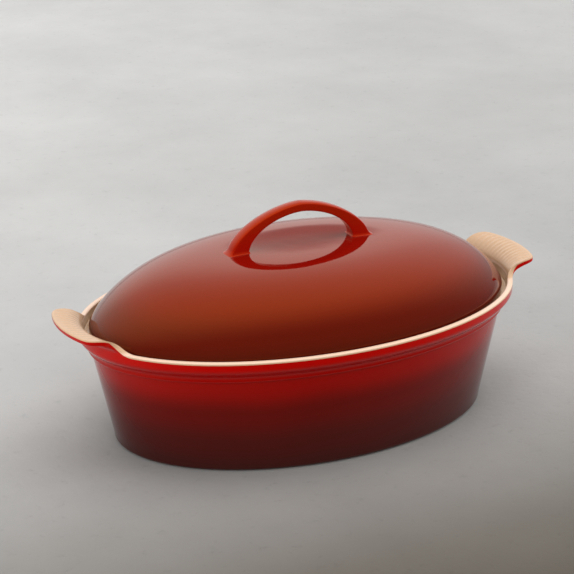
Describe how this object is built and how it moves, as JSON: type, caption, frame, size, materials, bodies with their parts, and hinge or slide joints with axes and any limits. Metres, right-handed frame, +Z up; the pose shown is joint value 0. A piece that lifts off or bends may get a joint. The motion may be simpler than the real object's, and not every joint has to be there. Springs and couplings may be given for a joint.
{
  "type": "covered casserole dish",
  "caption": "Oval stoneware baking dish with flared end grips and a domed lid that rests on a ledge in the rim and lifts off by an arched strap handle.",
  "frame": {"origin": "centre of the foot ring, on the plane the dish stands on", "axes": "+X along the dish's long axis through the two end grips, +Y across it, +Z up through the lid's handle"},
  "size_m": [0.4198, 0.2416, 0.1827],
  "materials": {
    "dish_glaze": "glossy red glaze, darker towards the foot",
    "cream_glaze": "glossy cream glaze inside the dish, on its rim and on the grips",
    "lid_glaze": "glossy red glaze, darker towards the edge",
    "handle_glaze": "glossy orange-red glaze",
    "bare_stoneware": "unglazed, matt"
  },
  "bodies": {
    "dish": {"dish": "dish_glaze"},
    "lid": {"lid": "lid_glaze", "lid_handle": "handle_glaze"}
  },
  "joints": [
    {"name": "lid_lift", "type": "slide", "parent": "dish", "child": "lid", "axis": [0, 0, 1], "range_m": [0, 0.2]}
  ]
}
